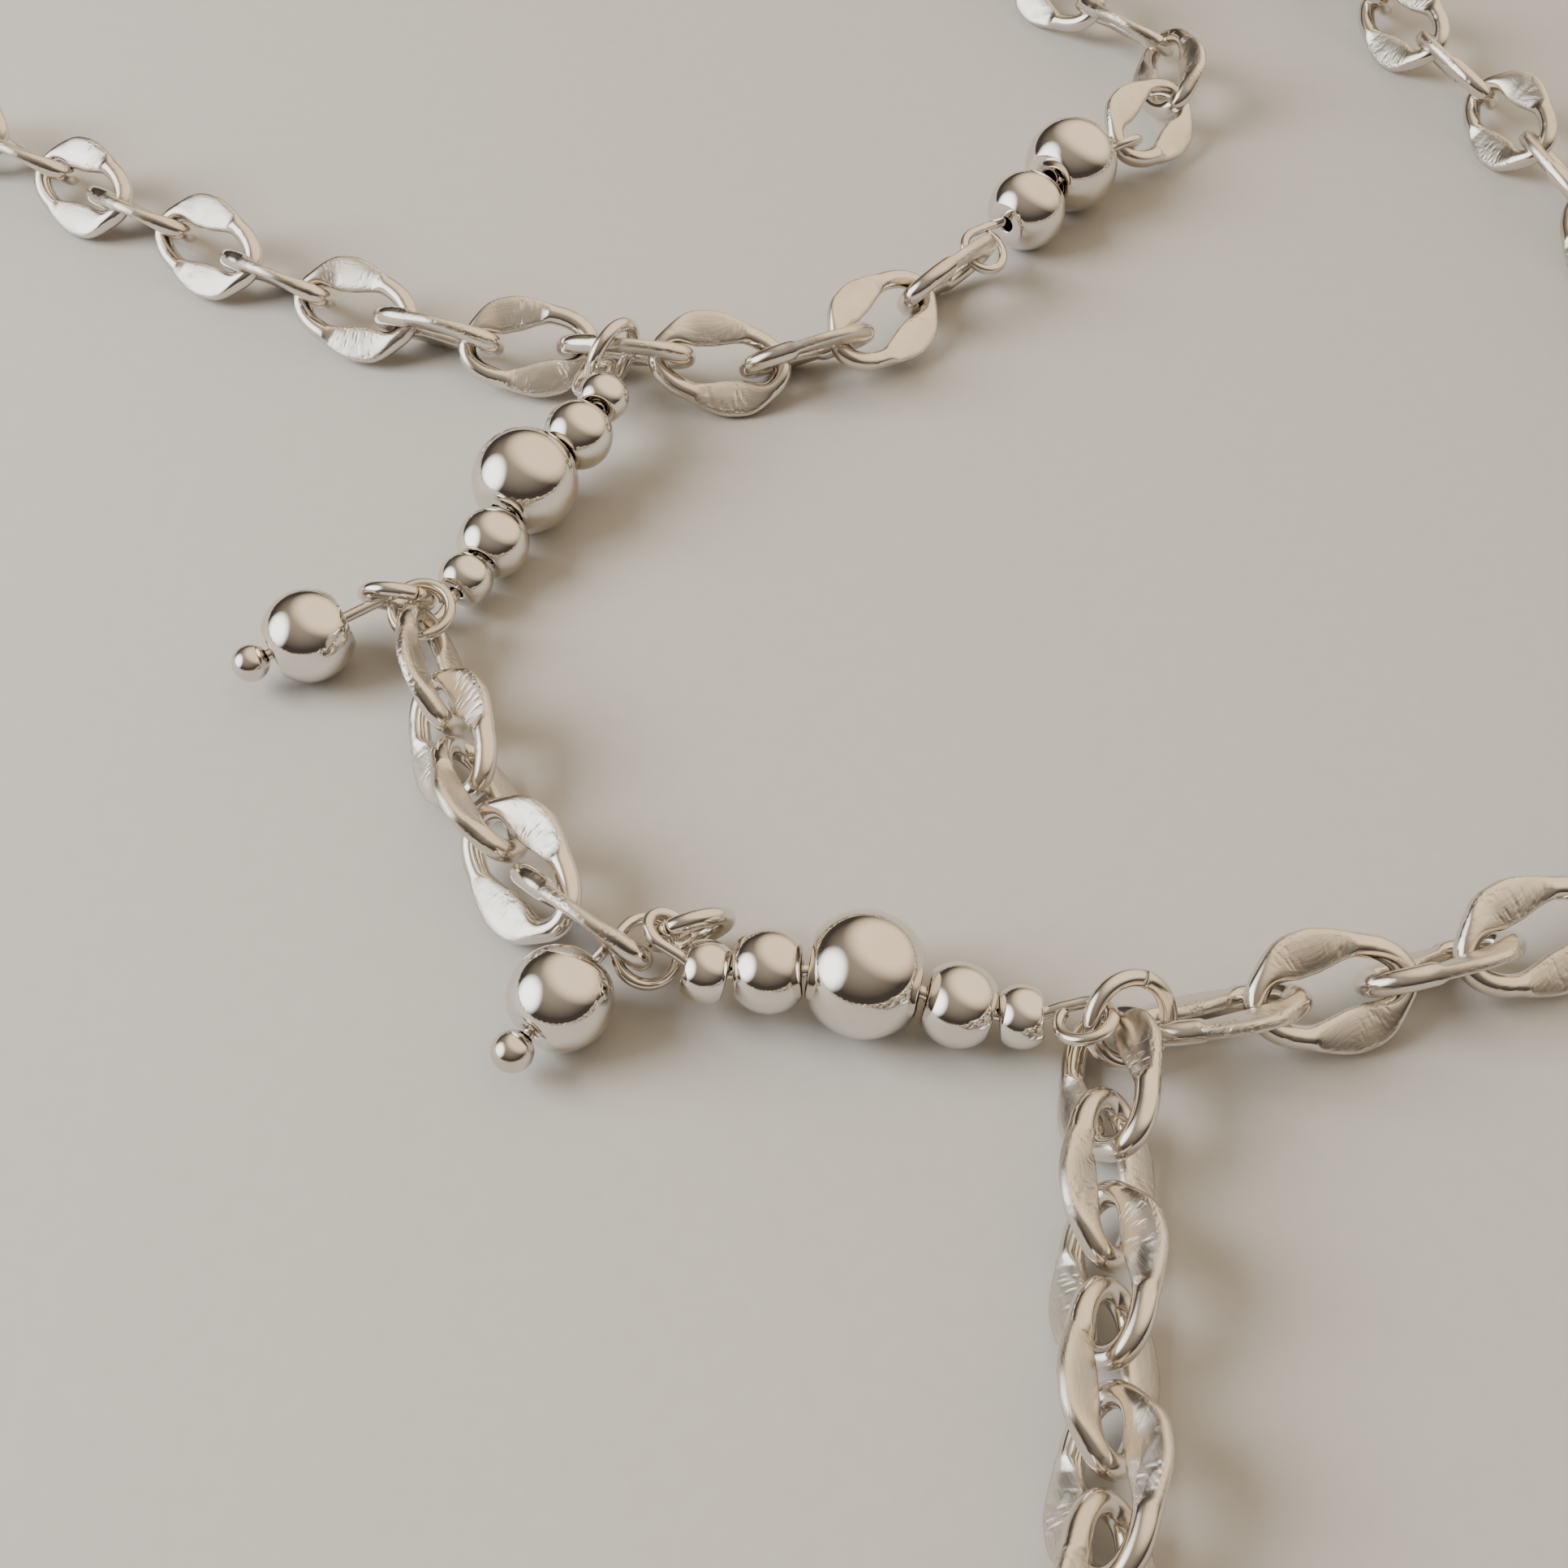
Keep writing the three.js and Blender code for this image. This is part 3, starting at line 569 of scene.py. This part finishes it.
beadShape = {  # radius, half length between the faces, radius of the drilled hole, in millimetres
    "three": (1.5, 1.02, 0.42), "four": (2.0, 1.58, 0.45), "five": (2.5, 2.12, 0.5), "six": (3.0, 2.58, 0.55),
    "edge": 0.1, "aroundSteps": 64, "profileSteps": 30,
}

beadRows = {
    "upper_string": [("bead_upper_1", "three", -10.4, 95.6, 3.9), ("bead_upper_2", "four", -11.69, 92.9, 3.48),
                     ("bead_upper_3", "six", -14.5, 89.6, 3), ("bead_upper_4", "four", -16, 85.4, 2.2),
                     ("bead_upper_5", "three", -17.3, 82.85, 1.9)],
    "lower_string": [("bead_lower_1", "three", -3.6, 56.4, 2.7), ("bead_lower_2", "four", -0.7, 56.3, 2.9),
                     ("bead_lower_3", "six", 3.72, 56.05, 3), ("bead_lower_4", "four", 8, 54.85, 2.25),
                     ("bead_lower_5", "three", 10.86, 54.4, 1.95)],
    "far_pair": [("bead_far_1", "five", 15.55, 115.85, 2.5), ("bead_far_2", "six", 18.72, 120.15, 3)],
    "near_pair": [("bead_near_1", "five", 42.14, 62.4, 2.5), ("bead_near_2", "six", 46.2, 65.45, 3)],
}


def beadMesh(name, size, place, along):  # truncated ball, a little rounded where the faces and the hole begin
    r, half, bore = beadShape[size]
    edge, steps = beadShape["edge"], beadShape["profileSteps"]
    faceRadius = math.sqrt(r * r - half * half)
    limit = math.asin(half / r) - edge * 0.8 / r
    outline = []
    for k in range(steps + 1):
        angle = -limit + 2 * limit * k / steps
        outline.append((r * math.cos(angle), r * math.sin(angle)))
    lip = [(faceRadius - edge * 0.15, half - edge * 0.25), (faceRadius - edge, half),
           (bore + edge, half), (bore + edge * 0.3, half - edge * 0.3), (bore, half - edge)]
    inner = [(bore, half * k / 3) for k in (2, 1, 0, -1, -2)]
    outline += lip + inner + [(x, -y) for x, y in reversed(lip)]
    across = along.orthogonal().normalized()
    third = along.cross(across)
    rows = []
    for x, y in outline:
        rows.append([place + along * y + (across * math.cos(a) + third * math.sin(a)) * x
                     for a in (2 * math.pi * k / beadShape["aroundSteps"] for k in range(beadShape["aroundSteps"]))])
    shape = Shape()
    shape.grid(rows, closed=True)
    return shape.mesh(name, toFrame)


wireSizes = {  # millimetres; an eye turns that many degrees, and its neck starts and ends that far before it
    "pin": 0.6, "ring": 0.85, "eyeRadius": 1.25, "dropEyeRadius": 1.55, "eyeTurn": 318, "eyeStep": 12,
    "eyeNeck": (0.9, 0.25), "sides": 16, "step": 0.16,
}

pinEyes = {  # heading, tilt, turn, reach and own radius, or the link, its side and own radius
    "upper_string": [(82.85, -4.26, 148.78, 2.85), (-116.61, -9.51, -32.5, 2.5, 0.95)],
    "lower_string": [(157.72, 23.98, 11.75, 2.5, 0.95), (4.6, 16.62, -16.9, 2.85)],
    "far_pair": [("link_far_4", 1, 1.35), ("drape_chain", -1, 1.3)],
    "near_pair": [("link_right_4", 1, 1.35), ("drape_chain", 1, 1.35)],
}


def linkPose(name, side):
    if name in hiddenChains:
        return poseMatrix(*chainPoses(name)[0 if side < 0 else -1])
    return next(poseMatrix(*row[1:]) for rows in ownLinks.values() for row in rows if row[0] == name)


def eyeFrame(eye, place, radius):  # x along the pin away from the bead, loop centre at reach, -radius
    if isinstance(eye[0], (int, float)):
        return eye[3], Matrix.Translation(place) @ turnMatrix(*eye[:3])
    pose = linkPose(*eye[:2])
    toward = pose @ Vector((eye[1] * endReach, 0, 0)) - place
    distance = toward.length
    toward.normalize()
    normal = pose.to_3x3() @ Vector((0, 1, 0))
    normal = (normal - toward * normal.dot(toward)).normalized()
    reach = math.sqrt(distance ** 2 - radius ** 2)
    along = toward * (reach / distance)
    along = (along + normal.cross(along).normalized() * (radius / distance)).normalized()
    across = normal.cross(along)
    basis = Matrix((along, across, normal)).transposed().to_4x4()
    return reach, Matrix.Translation(place) @ basis


def eyeRadius(eye):
    own = eye[4:] if isinstance(eye[0], (int, float)) else eye[2:]
    return own[0] if own else wireSizes["eyeRadius"]


def eyePoints(eye, place, radius):
    reach, matrix = eyeFrame(eye, place, radius)
    points = [Vector((reach - neck, 0, 0)) for neck in wireSizes["eyeNeck"]]
    for k in range(0, wireSizes["eyeTurn"] + 1, wireSizes["eyeStep"]):
        a = math.radians(90 - k)
        points.append(Vector((reach + radius * math.cos(a), radius * math.sin(a) - radius, 0)))
    return [matrix @ point for point in points]


for row, beads in beadRows.items():
    centres = [Vector(bead[2:]) for bead in beads]
    endBeads = (centres[0], centres[-1])
    start, end = (eyePoints(eye, place, eyeRadius(eye)) for eye, place in zip(pinEyes[row], endBeads))
    stops = [start[0]] + centres + [end[0]]
    for index, (name, size, *_) in enumerate(beads):
        before, here, after = stops[index:index + 3]
        along = ((here - before).normalized() + (after - here).normalized()).normalized()
        newPiece(name + "_ball", beadMesh(name, size, here, along), [name], polishedBeads)
    wire = Shape()
    path = smoothPath(list(reversed(start)) + centres + end, wireSizes["step"])
    sweptWire(wire, path, wireSizes["pin"] / 2, wireSizes["sides"])
    newPiece("wire_" + row, wire.mesh(row, toFrame), ["pin_" + row], roundWire)
print("beads threaded")


drops = {  # middle of the ball, heading, tilt, turn and reach of the pin
    "drop_left": ((-25.06, 78.06, 2.5), (27.7, 9.05, 14.45, 5.85)),
    "drop_near": ((-10.22, 55.05, 2.5), (51.51, 8.43, 35.72, 4.5)),
    "headRadius": 1.0, "headAt": -3.3, "headRings": 26, "headSides": 40, "headReach": 0.96,
}


def headRows(place, along):  # the small ball at the end of a headpin, almost closed at its poles
    radius, rings, sides, reach = (drops[key] for key in ("headRadius", "headRings", "headSides", "headReach"))
    across = along.orthogonal().normalized()
    third = along.cross(across)
    rows = []
    for k in range(rings + 1):
        latitude = -math.pi / 2 * reach + math.pi * reach * k / rings
        centre = place + along * radius * math.sin(latitude)
        rows.append([centre + (across * math.cos(a) + third * math.sin(a)) * radius * math.cos(latitude)
                     for a in (2 * math.pi * s / sides for s in range(sides))])
    return rows


for name in ("drop_left", "drop_near"):
    place, eye = Vector(drops[name][0]), drops[name][1]
    along = (turnMatrix(*eye[:3]).to_3x3() @ Vector((1, 0, 0))).normalized()
    newPiece(name + "_bead", beadMesh(name, "five", place, along), [name + "_ball"], polishedBeads)
    head = place + along * drops["headAt"]
    wire = Shape()
    path = smoothPath([head, place] + eyePoints(eye, place, wireSizes["dropEyeRadius"]), wireSizes["step"])
    sweptWire(wire, path, wireSizes["pin"] / 2, wireSizes["sides"])
    wire.grid(headRows(head, along))
    newPiece(name + "_headpin", wire.mesh(name + "_pin", toFrame), [name + "_pin"], roundWire)
print("drops hung")


jumpRings = {  # outer diameter, middle, heading, tilt, turn, and where round the ring its cut is
    "ring_upper": (4.8, -10.1, 99.87, 3.61, 64.15, 125.06, 79.27, 200),
    "ring_lower": (4.8, 15.67, 53.72, 2.71, 49.11, 27.8, 47.51, 20),
    "ring_drop_left": (4.2, -20.67, 80.64, 2.73, 115.52, -55.56, -152.86, 150),
    "ring_drop_near": (4.4, -4.37, 58.94, 2.44, 85.03, -67.43, -21.83, 150),
    "cutGap": 0.12, "steps": 72, "sides": 20, "blunt": 0.1,
}
claspRings = {"outer": 5.6, "at": 7.25, "lift": 0.05, "cutAt": 60}


def cutRing(name, outer, matrix, cutAt):  # wire ring with the hairline cut it was closed at
    radius = (outer - wireSizes["ring"]) / 2
    gap = jumpRings["cutGap"] / radius
    points = []
    for k in range(jumpRings["steps"] + 1):
        a = math.radians(cutAt) + gap / 2 + (2 * math.pi - gap) * k / jumpRings["steps"]
        points.append(matrix @ Vector((radius * math.cos(a), radius * math.sin(a), 0)))
    wire = Shape()
    sweptWire(wire, points, wireSizes["ring"] / 2, jumpRings["sides"], jumpRings["blunt"])
    newPiece("cut_" + name, wire.mesh(name, toFrame), [name], roundWire)


for name, values in jumpRings.items():
    if name.startswith("ring"):
        outer, x, y, z, azimuth, tilt, roll, cutAt = values
        cutRing(name, outer, poseMatrix(x, y, z, azimuth, tilt, roll), cutAt)
for name, side in (("ring_clasp_left", -1), ("ring_clasp_right", 1)):
    height = claspRings["outer"] / 2 + claspRings["lift"]
    upright = claspFrame @ poseMatrix(side * claspRings["at"], 0, height, 0, 0, 90)
    cutRing(name, claspRings["outer"], upright, claspRings["cutAt"])
print("rings closed")


claspShape = {  # millimetres; the middle block stands on the floor and the eyelets are lifted
    "length": 14.8, "width": 5.0, "height": 2.8, "lift": 1.6, "body": 5.6, "hole": 2.6, "holeAt": 4.9,
    "soften": 0.35, "softenSteps": 5, "endSteps": 24, "drillSides": 48, "drillDepth": 8, "weld": 0.03,
}


def meshOf(name, made):
    mesh = bpy.data.meshes.new(name)
    made.to_mesh(mesh)
    made.free()
    return mesh


def claspOutline(made, height):  # one ring of vertices, two straight sides and two round ends
    edge, steps = claspShape["width"] / 2, claspShape["endSteps"]
    half = claspShape["length"] / 2 - edge
    turns = [math.radians(-90 + 180 / steps * k) for k in range(steps + 1)]
    end = [(half + edge * math.cos(turn), edge * math.sin(turn)) for turn in turns]
    return [made.verts.new((x, y, height)) for x, y in end + [(-x, -y) for x, y in end]]


def makeClasp():  # closed bar, an eyelet at each end, every edge softened
    form = claspShape
    made = bmesh.new()
    base, lid = (claspOutline(made, form[level]) for level in ("lift", "height"))
    for k in range(len(base)):
        n = (k + 1) % len(base)
        made.faces.new((base[k], base[n], lid[n], lid[k]))
    made.faces.new(list(reversed(base)))
    made.faces.new(lid)
    bar = bpy.data.objects.new("clasp_bar", meshOf("clasp_bar", made))
    bpy.context.scene.collection.objects.link(bar)
    cutters = []
    for side in (-1, 1):
        made = bmesh.new()
        bmesh.ops.create_cone(made, cap_ends=True, segments=form["drillSides"], radius1=form["hole"] / 2,
                              radius2=form["hole"] / 2, depth=form["drillDepth"],
                              matrix=Matrix.Translation((side * form["holeAt"], 0, 2)))
        cutters.append((bpy.data.objects.new("drill", meshOf("drill", made)), "DIFFERENCE"))
    made = bmesh.new()
    bmesh.ops.create_cube(made, size=1, matrix=Matrix.Translation((0, 0, form["height"] / 2))
                          @ Matrix.Diagonal((form["body"], form["width"], form["height"], 1)))
    cutters.append((bpy.data.objects.new("block", meshOf("block", made)), "UNION"))
    for cutter, operation in cutters:
        bpy.context.scene.collection.objects.link(cutter)
        step = bar.modifiers.new(operation, "BOOLEAN")
        step.operation, step.object, step.solver = operation, cutter, "EXACT"
    weld = bar.modifiers.new("weld", "WELD")
    weld.merge_threshold = form["weld"]
    flatten = bar.modifiers.new("flatten", "DECIMATE")
    flatten.decimate_type, flatten.angle_limit = "DISSOLVE", math.radians(1)
    soft = bar.modifiers.new("soften", "BEVEL")
    soft.width, soft.segments, soft.angle_limit = form["soften"], form["softenSteps"], math.radians(40)
    plain = bpy.data.meshes.new_from_object(bar.evaluated_get(bpy.context.evaluated_depsgraph_get()))
    made = bmesh.new()
    made.from_mesh(plain)
    bmesh.ops.dissolve_degenerate(made, dist=form["weld"] / 10, edges=made.edges)
    made.to_mesh(plain)
    made.free()
    plain.transform(toFrame @ claspFrame)
    for thing in [bar] + [cutter for cutter, _ in cutters]:
        bpy.data.objects.remove(thing)
    plain.polygons.foreach_set("use_smooth", [True] * len(plain.polygons))
    plain.set_sharp_from_angle(angle=math.radians(35))
    newPiece("clasp_bar", plain, ["clasp"], claspSteel)


makeClasp()
print("clasp ready")


studio = {
    "floor": (0.385, 0.372, 0.355), "floorRough": 0.65, "floorSize": 6, "grainScale": 900, "grainDark": 0.965,
    "grainBump": (0.25, 0.00006),
    "skyTop": (0.46, 0.39, 0.3), "skySide": (0.075, 0.062, 0.053), "skyBand": (0.6, 0.95), "skyStrength": 1.0,
    "skyZones": [  # direction, where the zone starts and is full (cosine), colour
        ((0.5, 0.4, 0.77), (0.4, 0.84), (1.55, 1.25, 0.86)),
        ((-0.91, -0.12, 0.4), (0.8, 0.985), (3.8, 3.8, 3.7)),
    ],
    "backdrop": (0.56, 0.53, 0.49),  # what shows past the floor's edge
    "window": {"place": (-330, 60, 235), "aim": (-5, 75, 0), "size": (250, 230), "power": 3.3,
               "color": (1.0, 0.99, 0.97)},
}


def makeFloor():
    material = bpy.data.materials.new("paleFloor")
    material.use_nodes = True
    tree = material.node_tree
    shader = tree.nodes["Principled BSDF"]
    coords = tree.nodes.new("ShaderNodeTexCoord")
    grain = addNode(tree, "ShaderNodeTexNoise")
    grain.inputs["Scale"].default_value = studio["grainScale"]
    grain.inputs["Detail"].default_value = 5
    tree.links.new(coords.outputs["Object"], grain.inputs["Vector"])
    darker = tuple(value * studio["grainDark"] for value in studio["floor"])
    tone = rampNode(tree, grain.outputs[0], [(0.3, darker), (0.7, studio["floor"])])
    tree.links.new(tone, shader.inputs["Base Color"])
    shader.inputs["Roughness"].default_value = studio["floorRough"]
    bump = addNode(tree, "ShaderNodeBump")
    bump.inputs["Strength"].default_value, bump.inputs["Distance"].default_value = studio["grainBump"]
    tree.links.new(grain.outputs[0], bump.inputs["Height"])
    tree.links.new(bump.outputs[0], shader.inputs["Normal"])
    bpy.ops.mesh.primitive_plane_add(size=studio["floorSize"], location=(0, 0, 0))
    floor = bpy.context.object
    floor.name = "paleFloorSheet"
    floor.data.materials.append(material)


def makeWorld():
    world = bpy.data.worlds.new("softRoom")
    world.use_nodes = True
    bpy.context.scene.world = world
    tree = world.node_tree
    background = tree.nodes["Background"]
    coords = tree.nodes.new("ShaderNodeTexCoord")
    parts = tree.nodes.new("ShaderNodeSeparateXYZ")
    tree.links.new(coords.outputs["Generated"], parts.inputs[0])
    height = mathNode(tree, "MULTIPLY_ADD", parts.outputs["Z"], 0.5, 0.5)
    sideUpTo, topFrom = studio["skyBand"]
    color = rampNode(tree, height, [(sideUpTo, studio["skySide"]), (topFrom, studio["skyTop"])])
    for direction, edges, zoneColor in studio["skyZones"]:  # two soft patches, warm above and white at the left
        facing = addNode(tree, "ShaderNodeVectorMath", operation="DOT_PRODUCT")
        tree.links.new(coords.outputs["Generated"], facing.inputs[0])
        facing.inputs[1].default_value = Vector(direction).normalized()
        share = addNode(tree, "ShaderNodeMapRange", interpolation_type="SMOOTHSTEP")
        tree.links.new(facing.outputs["Value"], share.inputs["Value"])
        share.inputs["From Min"].default_value, share.inputs["From Max"].default_value = edges
        blend = addNode(tree, "ShaderNodeMix", data_type="RGBA")
        tree.links.new(share.outputs["Result"], blend.inputs[0])
        tree.links.new(color, blend.inputs[6])
        blend.inputs[7].default_value = (*zoneColor, 1)
        color = blend.outputs[2]
    paths = tree.nodes.new("ShaderNodeLightPath")
    backdrop = addNode(tree, "ShaderNodeMix", data_type="RGBA")
    tree.links.new(paths.outputs["Is Camera Ray"], backdrop.inputs[0])
    tree.links.new(color, backdrop.inputs[6])
    backdrop.inputs[7].default_value = (*studio["backdrop"], 1)
    tree.links.new(backdrop.outputs[2], background.inputs["Color"])
    background.inputs["Strength"].default_value = studio["skyStrength"]


def softLight(name):
    values = studio[name]
    light = bpy.data.lights.new(name, "AREA")
    light.shape = "RECTANGLE"
    light.size, light.size_y = (side * 0.001 for side in values["size"])
    light.energy, light.color = values["power"], values["color"]
    thing = bpy.data.objects.new(name, light)
    bpy.context.scene.collection.objects.link(thing)
    thing.visible_glossy = False  # the polished metal shows the sky's soft patches instead
    thing.location = toFrame @ Vector(values["place"])
    thing.rotation_euler = (toFrame @ Vector(values["aim"]) - thing.location).to_track_quat("-Z", "Y").to_euler()


view = {"height": 83.35, "down": 50.0, "focalPixels": 2622, "imagePixels": 1932}  # height in mm, tilt in degrees


def makeCamera():
    data = bpy.data.cameras.new("tableCamera")
    data.lens = data.sensor_width * view["focalPixels"] / view["imagePixels"]
    data.clip_start, data.clip_end = 0.001, 20
    camera = bpy.data.objects.new("tableCamera", data)
    bpy.context.scene.collection.objects.link(camera)
    camera.location = toFrame @ Vector((0, 0, view["height"]))
    camera.rotation_euler = (math.radians(90 - view["down"]), 0, 0)
    bpy.context.scene.camera = camera


makeFloor()
makeWorld()
softLight("window")
makeCamera()
print("studio lit")
